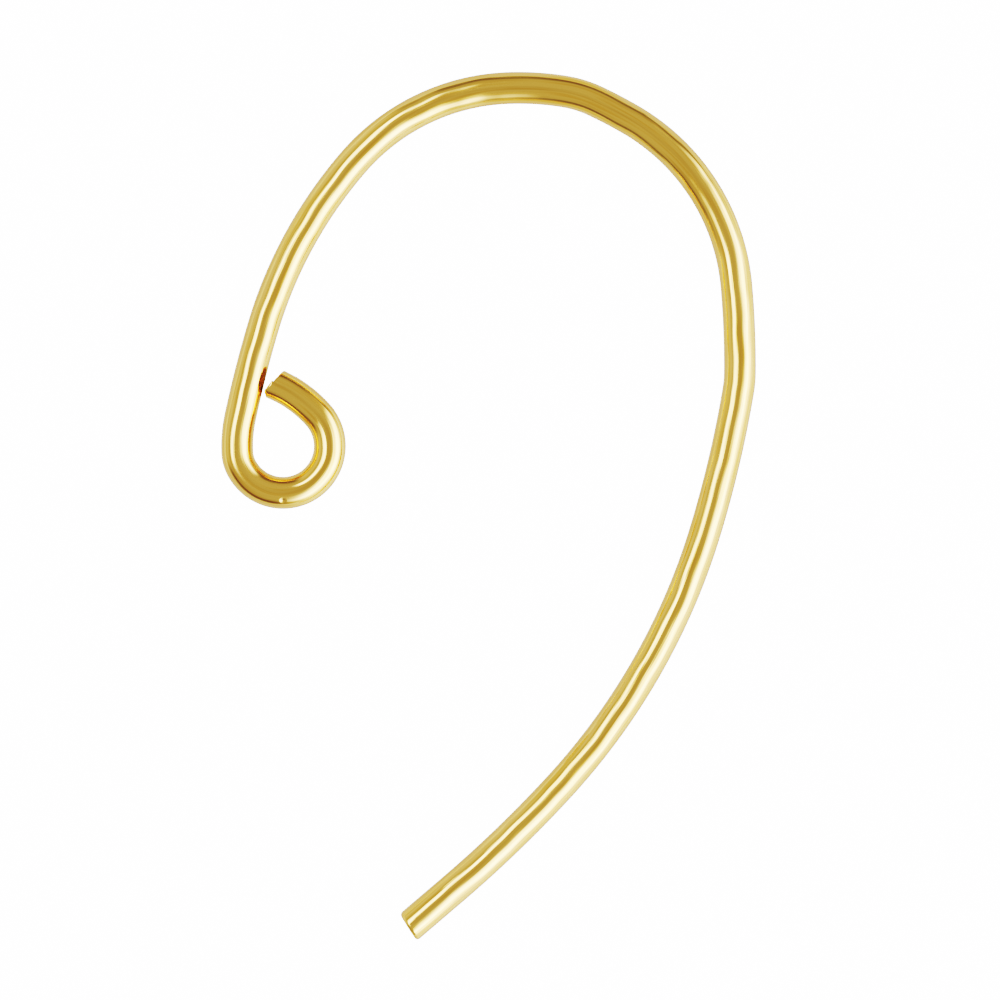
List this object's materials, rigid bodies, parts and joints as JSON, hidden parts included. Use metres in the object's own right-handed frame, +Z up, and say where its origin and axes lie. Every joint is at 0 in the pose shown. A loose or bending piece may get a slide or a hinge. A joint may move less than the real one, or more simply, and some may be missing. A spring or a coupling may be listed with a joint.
{
  "type": "ear wire",
  "caption": "Ear wire bent flat from plain round wire: straight tail for the ear, long curved leg, rounded crown, shank and a small open eye for a drop.",
  "frame": {"origin": "on the surface that the wire lies on, under the middle of its outline", "axes": "+Z up from the surface, square to the plane of the bent wire; +Y from the tail's side towards the crown; +X from the shank towards the leg"},
  "size_m": [0.0118, 0.0192, 0.0007],
  "materials": {
    "gold_wire": "polished gold surface over a brass core, with faint drawing lines along the wire"
  },
  "bodies": {
    "root": {"ear_wire": "gold_wire"}
  },
  "joints": []
}
